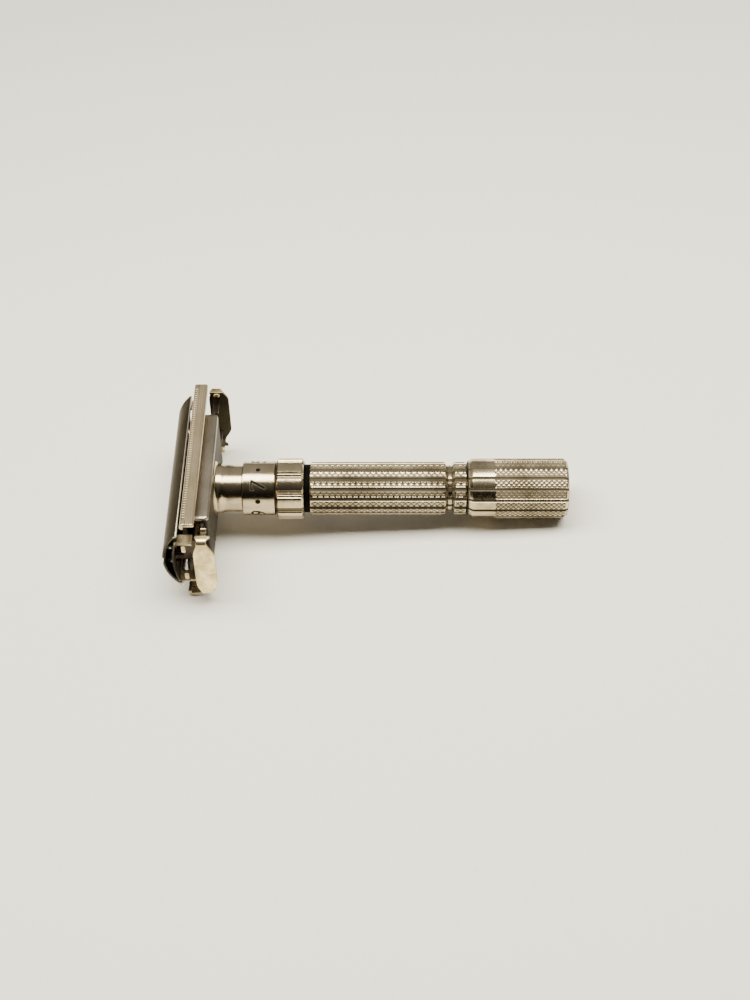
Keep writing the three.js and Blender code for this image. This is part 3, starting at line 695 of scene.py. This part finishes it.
def stroke_distance(u, w, half, points):
    """How far outside a stroke a point is. half is half the stroke's width."""
    nearest = np.full(u.shape, FAR)
    for (x0, y0), (x1, y1) in zip(points, points[1:]):
        along = ((u - x0) * (x1 - x0) + (w - y0) * (y1 - y0)) / ((x1 - x0) ** 2 + (y1 - y0) ** 2)
        along = np.clip(along, 0, 1)
        gap = np.hypot(u - x0 - along * (x1 - x0), w - y0 - along * (y1 - y0))
        nearest = np.minimum(nearest, gap)
    return nearest - half


def mark_distance(height, angle, radius, middle):
    """How far outside the nearest digit or dot a point of the dial is."""
    nearest = np.full(height.shape, FAR)
    for setting in range(1, SETTINGS + 1):
        place = FIRST_SETTING - SETTING_STEP * (setting - 1)
        turn = (angle - place + math.pi) % (2 * math.pi) - math.pi
        u, w = turn * radius, height - middle
        if setting in DIGITS:
            near = [stroke_distance(u, w, half, points) for half, points in DIGITS[setting]]
            nearest = np.minimum(nearest, np.min(near, axis=0))
        else:
            nearest = np.minimum(nearest, np.hypot(u, w) - DOT_RADIUS)
    return nearest


def make_dial():
    """A sleeve whose band carries the engraved, inked settings."""
    low, high = extent("dial_sleeve")
    radius, bore, spigot = high[0], 4.55, 4.9
    top, band = high[2], 6.9
    bottom = top - band
    middle = (bottom + top) / 2 + 0.12
    engraving, slope_start, slope_end = 0.06, -0.03, 0.04
    ink_start, ink_end, wall = 0.08, 0.13, 0.22

    def relief(height, angle):
        gap = mark_distance(height, angle, radius, middle)
        return -engraving * (1 - step_up(gap, slope_start, slope_end))

    def paint(points):
        # painted shade on the bore and inner faces; the ink is the digits and dots
        inside = np.hypot(points[:, 0], points[:, 1]) < radius - wall
        angle = np.arctan2(points[:, 0], -points[:, 1])
        gap = mark_distance(points[:, 2], angle, radius, middle)
        return np.maximum(1 - step_up(gap, ink_start, ink_end), MOST_FILL_AND_SHADE * inside)

    corners = [
        (bore, low[2], 0), (spigot, low[2], 0), (spigot, bottom, 0), (radius, bottom, 1),
        (radius, top, 1), (bore, top, 0),
    ]
    outline = refined(rounded(corners, [0, 0, 0.05, 0.18, 0.18, 0.1]), fine=0.065)
    piece("numbered_dial", [lathe(outline, columns=540, relief=relief)], "dial", ["dial_sleeve"],
          MARKED.material, sharp=50, paint=paint)


GROOVE_GROUPS = 10
GROOVE_ANGLES = np.radians([-5.0, 0.0, 5.0])  # within a group


def make_grip():
    """The dial's ring, with groups of three vee grooves across its rim."""
    low, high = extent("dial_grip_ring")
    radius, bore, chamfer = high[0], 5.2, 0.42
    groove_half, groove_slope = 0.24, 1.1

    def relief(height, angle):
        pitch = 2 * math.pi / GROOVE_GROUPS
        turn = (angle + pitch / 2) % pitch - pitch / 2
        cuts = [np.maximum(groove_half - np.abs(turn - place) * radius, 0) for place in GROOVE_ANGLES]
        return -groove_slope * np.max(cuts, axis=0)

    corners = [
        (bore, low[2], 0), (radius - chamfer, low[2], 1), (radius, low[2] + chamfer, 1),
        (radius, high[2] - chamfer, 1), (radius - chamfer, high[2], 1), (bore, high[2], 0),
    ]
    outline = refined(rounded(corners, [0, 0.1, 0.15, 0.15, 0.1, 0]), fine=0.4, coarse=0.3)
    # Dark fill in the vee grooves, and painted shade on the inner faces.
    grip_fill_and_shade = cut_fill_and_shade(relief, shallow=0.12, deep=0.4, rim=radius - chamfer - 0.25, most=0.7)
    piece("ribbed_grip_ring", [lathe(outline, columns=900, relief=relief)], "dial", ["dial_grip_ring"],
          MARKED.material, paint=grip_fill_and_shade)


# ------------------------------ head

DOOR_RADIUS = 11.43
DOOR_SHEET = 0.5
DOOR_CENTRE = 74.37  # height of the middle of both doors' arcs
HINGE_CLEARANCE = 2.05
GUARD_POST = 3.4  # from the middle, along the blade
PLATFORM_POST = 9


def edge_angle(radius, pivot):
    """Where a door's arc comes within the sweep of its own hinge."""
    reach = math.hypot(pivot[0], pivot[2] - DOOR_CENTRE)
    towards = math.atan2(pivot[0], pivot[2] - DOOR_CENTRE)
    cosine = (radius ** 2 + reach ** 2 - HINGE_CLEARANCE ** 2) / (2 * radius * reach)
    return towards - math.acos(cosine)


def make_door(side, name):
    """A curved door with a rolled rim, and a hinge lug near each end. side is 1 or -1."""
    low, high = extent(name)
    rim_inset, bead, bead_hole = 0.35, 0.28, 0.05
    lug_inner, lug_outer, pin_hole, knuckle = 17.75, 18.65, 0.32, 0.6
    web_half, web_inset, web_low, web_high = 0.45, 0.1, 0.4, 1.1
    rim = math.asin((max(abs(low[0]), abs(high[0])) - rim_inset) / DOOR_RADIUS)
    pivot = to_upright(JOINTS[f"{name}_swing"]["pos_m"]) * np.array([side, 1, 1])
    outline = []
    for radius, order in ((DOOR_RADIUS, 1), (DOOR_RADIUS - DOOR_SHEET, -1)):
        angles = np.linspace(edge_angle(radius, pivot), rim, 40)[::order]
        outline += [(side * radius * math.sin(t), DOOR_CENTRE + radius * math.cos(t)) for t in angles]
    shapes = [along_y(outline, np.linspace(low[1], high[1], 9))]
    bead_side = side * (DOOR_RADIUS - bead) * math.sin(rim)
    bead_height = DOOR_CENTRE + (DOOR_RADIUS - bead) * math.cos(rim)
    shapes.append(eye(bead_hole, bead, low[1], high[1], bead_side, bead_height))
    x, z = side * pivot[0], pivot[2]
    for y0, y1 in ((lug_inner, lug_outer), (-lug_outer, -lug_inner)):
        shapes.append(eye(pin_hole, knuckle, y0, y1, x, z))
        shapes.append(block((x - web_half, y0 + web_inset, z + web_low),
                            (x + web_half, y1 - web_inset, z + web_high)))

    def paint(points):
        """A painted highlight on the lower side of the rolled rim."""
        return 1 - step_up(points[:, 2] - bead_height, 0.0, 0.1)

    piece(f"curved_{name}", shapes, name, [name], SHADED_DOOR_NICKEL.material, bevel=0.14,
          paint=paint)


TOOTH_PITCH = 0.68


def make_guard():
    """A plate whose two long sides are guard bars, with teeth along the top and ruled flanks."""
    low, high = extent("guard_plate")
    outer, half = high[0], high[1]
    lip, top = low[2], high[2]
    sheet_low, sheet_high = 80.6, 81.1
    flange, nip_depth = 0.9, 0.28
    line_half, line_depth = 0.1, 0.06
    lines = [lip + share * (top - lip) for share in (0.62, 0.47, 0.32)]

    def nip_share(y):
        """1 in the middle of a nip between two teeth and 0 on a tooth's crest."""
        fade = step_up(half - 1.2 - abs(y), 0, 0.6)
        return (0.5 - 0.5 * np.cos(2 * math.pi * y / TOOTH_PITCH)) * fade

    def section(y):
        """One bar's corners at y, in (side, up), and the radius of each."""
        nip = nip_depth * nip_share(y)
        corners = [
            (outer - 1.85, sheet_high), (outer - 1.5, top - 0.4 * nip), (outer - 0.75, top - nip),
            (outer - 0.1 - 0.5 * nip, top - 0.25 - nip), (outer - 0.3 * nip, top - 0.85),
            (outer, top - 1.15),
        ]
        for line in lines:
            corners += [(outer, line + line_half), (outer - line_depth, line),
                        (outer, line - line_half)]
        corners += [
            (outer, lip + 0.3), (outer - 0.3, lip), (outer - 0.8, lip), (outer - flange, lip + 0.2),
            (outer - flange, sheet_low), (outer - 1.85, sheet_low),
        ]
        radii = [0.1, 0.16, 0.16, 0.16, 0.1, 0, *[0] * 3 * len(lines), 0.16, 0.16, 0.1, 0.1, 0.1, 0.1]
        return corners, radii

    def paint(points):
        """Darker between the teeth and in the ruled lines, and painted shade on the inside."""
        outside = np.abs(points[:, 0]) > outer - 1.4
        nips = step_up(nip_share(points[:, 1]), 0.1, 0.5)
        marks = nips * step_up(points[:, 2], top - 1.15, top - 0.9)
        ruled = np.abs(points[:, 0]) < outer - 0.04
        across = np.min([np.abs(points[:, 2] - line) for line in lines], axis=0) < 0.03
        return np.maximum(0.8 * marks, 0.6 * (ruled & across)) * outside + 0.85 * ~outside

    end_round, end_shrink, up_share = 0.25, 0.35, 0.04
    stations = np.linspace(-half, half, 10 * round(2 * half / TOOTH_PITCH) + 1)
    shapes = []
    for side in (1, -1):
        centre = np.array([side * (outer - flange / 2), (lip + top) / 2])
        rings = []
        for y in stations:
            corners, radii = section(y)
            ring = rounded([(side * x, z) for x, z in corners], radii, 2)
            end = 1 - min(1, (half - abs(y)) / end_round)
            shrink = 1 - end_shrink * (1 - math.sqrt(max(1 - end ** 2, 0)))
            ring = centre + (ring - centre) * np.array([shrink, 1 - up_share * (1 - shrink)])
            rings.append([(x, y, z) for x, z in ring])
        shapes.append(loft(rings))
    reach, length = outer - 1.6, 18.0
    notch, notch_start = 3.4, 16.2
    middle_hole, post_hole = 2.4, 1.5
    plate = block((-reach, -length, sheet_low), (reach, length, sheet_high))
    under, over = sheet_low - 1, sheet_high + 1
    holes = [rod(middle_hole, under, over, 0, 0)]
    holes += [rod(post_hole, under, over, 0, y) for y in (PLATFORM_POST, -PLATFORM_POST)]
    holes += [block((-notch, notch_start, under), (notch, length + 1, over)),
              block((-notch, -length - 1, under), (notch, -notch_start, over))]
    shapes.append(cut_from(plate, holes))
    piece("toothed_guard", shapes, "guard", ["guard_plate"], BRUSHED.material,
          paint=paint)


def make_pan():
    """The rounded trough under the guard, open at the top."""
    low, high = extent("head_pan")
    half_width, half_length = high[0], high[1]
    bottom, top = low[2], high[2]
    sheet, end_round, corner, inner_corner = 0.6, 0.9, 0.6, 0.25
    straight, side_share, floor_share = 12.5, 0.35, 0.9
    middle_hole, post_hole = 1.75, 0.6

    def wall(width, base, radius):
        """A U from its left rim round to its right rim."""
        left = arc_points((radius - width, base + radius), radius, 180, 270, 9)
        right = arc_points((width - radius, base + radius), radius, 270, 360, 9)
        flat = [(radius + 0.15 - width, base), (width - radius - 0.15, base)]
        return [(-width, top), *left, *flat, *right, (width, top)]

    end = end_round * (1 - np.cos(np.linspace(0, math.pi / 2, 9)))
    rings = []
    for y in [*(end - half_length), *np.linspace(-straight, straight, 15), *(half_length - end[::-1])]:
        gap = min(half_length - abs(y), end_round)
        inset = end_round - math.sqrt(end_round ** 2 - (end_round - gap) ** 2)
        side, floor = half_width - side_share * inset, bottom + floor_share * inset
        ring = wall(side, floor, corner) + wall(side - sheet, floor + sheet, inner_corner)[::-1]
        rings.append([(x, y, z) for x, z in ring])
    holes = [rod(middle_hole, bottom - 1, bottom + 2, 0, 0)]
    holes += [rod(post_hole, bottom - 1, bottom + 2, 0, y) for y in (GUARD_POST, -GUARD_POST)]

    def paint(points):
        """Painted shade inside, and a little less of it on the underside."""
        skin = 0.8 * sheet
        side, up = np.abs(points[:, 0]), points[:, 2]
        inside = (side < half_width - skin) & (up > bottom + skin)
        under = (side < half_width - corner - 0.1) & (up < bottom + skin)
        return np.maximum(0.95 * inside, 0.85 * under)

    piece("head_trough", [cut_from(loft(rings), holes)], "handle", ["head_pan"],
          SATIN.material, bevel=0.1, paint=paint)


def make_ear(node, side):
    """An end plate with clipped corners, whose two flanges fold in and end in a short hook."""
    low, high = extent(node)
    half, outer = high[0], max(abs(low[1]), abs(high[1]))
    sheet, bend, camber = 0.62, 0.95, 0.3
    flange_end = outer - 2.1
    base, top = low[2] - 0.2, high[2] + 0.3
    middle = outer - sheet / 2
    reach = half - sheet / 2
    clip_start, clip_base, clip_top, bend_share = 4.6, 1.5, 0.85, 0.45

    def swell_at(x):
        """How far the plate's camber stands out."""
        return camber * (1 - (x / (reach - bend)) ** 2)

    # Points and outward directions, in (side, away), from one flange's end to the plate's middle.
    path = [(reach, flange_end + (middle - bend - flange_end) * t, 1, 0) for t in np.linspace(0, 1, 5)]
    path += [(reach - bend + bend * math.cos(t), middle - bend + bend * math.sin(t),
              math.cos(t), math.sin(t)) for t in np.linspace(0, math.pi / 2, 9)[1:]]
    path += [(x, middle + swell_at(x), 0, 1) for x in np.linspace(reach - bend, 0, 12)[1:]]
    path += [(-x, y, -nx, ny) for x, y, nx, ny in path[-2::-1]]
    rings = []
    for x, y, nx, ny in path:
        clip = step_up(abs(x), clip_start, half - 0.4)
        narrow = clip - bend_share * step_up(middle - bend - y, -0.3, 0.5)
        z0, z1 = base + clip_base * narrow, top - clip_top * narrow
        ring = []
        for across, z in ((-1, z0), (1, z0), (1, z1), (-1, z1)):
            shift = across * sheet / 2
            ring.append((x + nx * shift, side * (y + ny * shift), z))
        rings.append(ring)
    shapes = [loft(rings)]
    hook_half, hook_sheet, hook_length, hook_lean, hook_swell = 0.6, 0.5, 1.7, 0.75, 0.16
    hook_low, hook_high = (base + top) / 2 - hook_half, (base + top) / 2 + hook_half
    for turn in (1, -1):
        rings = []
        for t in np.linspace(0, 1, 9):
            x = reach - 0.1 + hook_lean * step_up(t, 0.3, 1)
            y = flange_end + 0.3 - hook_length * t
            thick = hook_sheet / 2 + hook_swell * step_up(t, 0.55, 0.8)
            rings.append([(turn * (x + across * thick), side * y, z) for across, z in
                          ((-1, hook_low), (1, hook_low), (1, hook_high), (-1, hook_high))])
        shapes.append(loft(rings))

    def paint(points):
        """Painted shade on the inner faces and on the hook's shank."""
        across, away = np.abs(points[:, 0]), np.abs(points[:, 1])
        face = outer + swell_at(np.minimum(across, reach - bend))
        inward = np.minimum(face - away, half - across)
        shank = (away < flange_end + 0.2) & (away > flange_end - 0.7)
        return 0.93 * np.maximum(step_up(inward, 0.35, 0.5), shank)

    piece(f"worn_{node}", shapes, "carriage", [node], GOLDEN.material, bevel=0.16,
          paint=paint)


PLATFORM_CAMBER = 22.5  # radius of its curve


def make_platform():
    """The cambered plate that the blade lies on, its folded tabs and its tongues."""
    low, high = extent("blade_platform")
    half, length, rib_top = high[0], high[1], high[2]
    sheet, tab_sheet = 0.4, 0.5
    rib_rise, rib_root, rib_half, rib_length = 0.5, 0.2, 0.4, 13
    crest = rib_top - rib_rise
    slot_half, slot_start, slot_end = 3.6, 16.2, 18.8
    tab_start, tab_bottom, tab_edge = 18.3, low[2], 0.2
    tongue_near, tongue_far, tongue_low, tongue_high = 3.3, 5.4, 80.5, 81.4
    tongue_length, tongue_round = 0.45, 0.4

    def over(x):
        """Height of the cambered top."""
        return crest - x ** 2 / (2 * PLATFORM_CAMBER)

    across = np.linspace(half, -half, 25)
    outline = [(x, over(x)) for x in across] + [(x, over(x) - sheet) for x in across[::-1]]
    slots = [block((-slot_half, y0, crest - 2), (slot_half, y1, crest + 1))
             for y0, y1 in ((slot_start, slot_end), (-slot_end, -slot_start))]
    shapes = [cut_from(along_y(outline, np.linspace(-length, length, 15)), slots)]
    shapes.append(block((-rib_half, -rib_length, crest - rib_root), (rib_half, rib_length, rib_top)))
    edge = over(half) - sheet / 2
    for end in (1, -1):
        for side in (1, -1):
            shelf = [(side * (half - tab_sheet), edge), (side * half, edge),
                     (side * half, tab_bottom + tab_edge), (side * (half - tab_edge), tab_bottom),
                     (side * (half - tab_sheet), tab_bottom)]
            shapes.append(along_y(shelf, sorted([end * tab_start, end * length])))
            tongue = [(tongue_near, tongue_low), (tongue_far, tongue_low), (tongue_far, tongue_high),
                      (tongue_near, tongue_high)]
            tongue = rounded([(side * x, z) for x, z in tongue], tongue_round, 5)
            shapes.append(along_y(tongue, sorted([end * (length - tongue_length), end * length])))

    def paint(points):
        """Painted shade on the sheet's cut ends and on its underside above the trough."""
        ends = (np.abs(points[:, 1]) > length - 0.02) & (points[:, 2] > edge - 0.1)
        under = points[:, 2] < over(points[:, 0]) - 0.7 * sheet
        hidden = under & (np.abs(points[:, 0]) < 5.2) & (points[:, 2] > 81.6)
        return 0.93 * np.maximum(ends, hidden)

    piece("blade_bed", shapes, "handle", ["blade_platform"], STAINED.material,
          bevel=0.1, paint=paint)


def make_crosshead():
    """The bar that slides in the trough and reaches out to the end plates."""
    wide, length, over = extent("crosshead")[1]
    narrow, shoulder, sheet, skirt = 5.2, 18.1, 0.5, 1.3
    overlap, reach_out = 0.3, 0.4
    rod_hole, guard_post_hole, platform_post_hole = 0.95, 0.7, 1.5
    under = over - 0.55
    web = block((-wide, -shoulder, under), (wide, shoulder, over))
    holes = [rod(rod_hole, under - 1, over + 1, 0, 0)]
    for radius, place in ((guard_post_hole, GUARD_POST), (platform_post_hole, PLATFORM_POST)):
        holes += [rod(radius, under - 1, over + 1, 0, y) for y in (place, -place)]
    shapes = [cut_from(web, holes)]
    channel = [(-narrow, over - 0.01), (narrow, over - 0.01), (narrow, over - skirt),
               (narrow - sheet, over - skirt), (narrow - sheet, under), (sheet - narrow, under),
               (sheet - narrow, over - skirt), (-narrow, over - skirt)]
    start, end = shoulder - overlap, length + reach_out
    shapes += [along_y(channel, [start, end]), along_y(channel, [-end, -start])]
    # Darkened nickel, as painted shade inside the head.
    piece("sliding_crosshead", shapes, "carriage", ["crosshead"], INNER_SHADE_NICKEL.material,
          bevel=0.1)


make_barrel()
make_knob()
make_knob_end()
make_washer()
make_neck()
make_dial()
make_grip()
make_door(1, "upper_door")
make_door(-1, "lower_door")
make_guard()
make_pan()
make_platform()
make_crosshead()
make_ear("ear_near", -1)
make_ear("ear_far", 1)

# ------------------------------ CAD nodes that stay

CARRIED = {
    # the stanchions take the nickel darkened as painted shade
    "nickel_plate": (INNER_SHADE_NICKEL, ["stanchion_far", "stanchion_near"]),
    "bare_brass": (BRASS, ["inner_tube", "drive_nut", "knob_bush", "dial_nut", "adjuster_sleeve",
                           "platform_post_far", "platform_post_near"]),
    "spring_steel": (STEEL, ["knob_retainer", "detent_ball", "detent_spring", "adjuster_spring",
                             "guard_post_far", "guard_post_near", "lift_rod", "crosshead_screw",
                             "upper_hinge_pin_far", "upper_hinge_pin_near", "lower_hinge_pin_far",
                             "lower_hinge_pin_near"]),
}
CARRIED_BEVEL = 0.08
for slot, (look, nodes) in CARRIED.items():
    for node in nodes:
        carried = frame["nodes"][node]
        carried.data.materials.clear()
        carried.data.materials.append(look.material)
        soften(carried, CARRIED_BEVEL)

# ------------------------------ floor, light and camera

def make_floor():
    """A plain pale floor with a very fine grain."""
    half, grain_scale = 0.6, 900.0
    made = Nodes("pale_floor")
    place = made.add("ShaderNodeTexCoord").outputs["Object"]
    grain = made.add("ShaderNodeTexNoise", {"Vector": place, "Scale": grain_scale, "Detail": 3.0})
    tone = made.mix(grain.outputs["Fac"], (0.88, 0.86, 0.80, 1), (0.93, 0.91, 0.85, 1))
    made.feed(tone, made.shader.inputs["Base Color"])
    made.shader.inputs["Roughness"].default_value = 0.6
    mesh = bpy.data.meshes.new("floor")
    mesh.from_pydata([(-half, -half, 0), (half, -half, 0), (half, half, 0), (-half, half, 0)], [],
                     [(0, 1, 2, 3)])
    floor = bpy.data.objects.new("floor", mesh)
    floor.data.materials.append(made.material)
    bpy.context.scene.collection.objects.link(floor)


def softbox(name, place, target, width, height, power, colour):
    """A soft rectangular lamp at a place, turned to the target."""
    lamp = bpy.data.lights.new(name, "AREA")
    lamp.shape = "RECTANGLE"
    lamp.size, lamp.size_y = width, height
    lamp.energy = power
    lamp.color = colour
    made = bpy.data.objects.new(name, lamp)
    made.location = place
    made.rotation_euler = (Vector(target) - Vector(place)).to_track_quat("-Z", "Y").to_euler()
    bpy.context.scene.collection.objects.link(made)


# Stops of (height, brightness).
NEAR_SKY = [(0.0, 0.008), (0.42, 0.01), (0.56, 0.035), (0.95, 0.12), (1.0, 0.3)]
FAR_SKY = [(0.0, 0.24), (0.3, 0.42), (0.8, 0.5), (1.0, 0.45)]
SKY_TINT = (1.0, 0.96, 0.89)
CAMERA_PLACE = [244.68, -221.44, 41.5]  # upright, in millimetres


def sky_ramp(tree, height, stops):
    """Brightness by height, from stops of (height, brightness)."""
    ramp = tree.nodes.new("ShaderNodeValToRGB")
    tree.links.new(height, ramp.inputs[0])
    ramp.color_ramp.elements[0].position = stops[0][0]
    ramp.color_ramp.elements[1].position = stops[-1][0]
    for position, _ in stops[1:-1]:
        ramp.color_ramp.elements.new(position)
    for element, (_, level) in zip(ramp.color_ramp.elements, stops):
        element.color = (*[level * share for share in SKY_TINT], 1)
    return ramp.outputs[0]


def make_world():
    """A dim room: dark on the near side, up to well above the horizon, and lighter beyond."""
    near_side, far_side = -0.25, 0.3
    world = bpy.data.worlds.new("room")
    world.use_nodes = True
    bpy.context.scene.world = world
    tree = world.node_tree
    place = tree.nodes.new("ShaderNodeTexCoord")
    split = tree.nodes.new("ShaderNodeSeparateXYZ")
    tree.links.new(place.outputs["Generated"], split.inputs[0])
    beyond = tree.nodes.new("ShaderNodeMapRange")
    beyond.interpolation_type = "SMOOTHSTEP"
    beyond.inputs["From Min"].default_value = near_side
    beyond.inputs["From Max"].default_value = far_side
    tree.links.new(split.outputs["Y"], beyond.inputs["Value"])
    blend = tree.nodes.new("ShaderNodeMix")
    blend.data_type = "RGBA"
    tree.links.new(beyond.outputs[0], blend.inputs[MIX_FACTOR])
    tree.links.new(sky_ramp(tree, split.outputs["Z"], NEAR_SKY), blend.inputs[MIX_FIRST])
    tree.links.new(sky_ramp(tree, split.outputs["Z"], FAR_SKY), blend.inputs[MIX_SECOND])
    tree.links.new(blend.outputs[MIX_RESULT], tree.nodes["Background"].inputs["Color"])


def make_camera():
    """A camera that looks down on the razor from the near side, square to its handle."""
    pitch = math.radians(48.3)
    camera = bpy.data.objects.new("camera", bpy.data.cameras.new("camera"))
    look = np.array([-math.sin(pitch), math.cos(pitch), 0]) @ AXES
    over = np.array([math.cos(pitch), math.sin(pitch), 0]) @ AXES
    right = -AXES[2]
    turn = Matrix(np.stack([right, over, -look], 1).tolist()).to_4x4()
    camera.matrix_world = Matrix.Translation(to_row(CAMERA_PLACE).tolist()) @ turn
    camera.data.lens = 54.72
    camera.data.sensor_width = 36
    camera.data.clip_start = 0.01
    bpy.context.scene.collection.objects.link(camera)
    bpy.context.scene.camera = camera


make_floor()
make_world()
softbox("overhead_light", place=(0.0, 0.02, 0.42), target=(0, 0, 0), width=0.7, height=0.19, power=6.8,
        colour=(1.0, 0.95, 0.81))
make_camera()
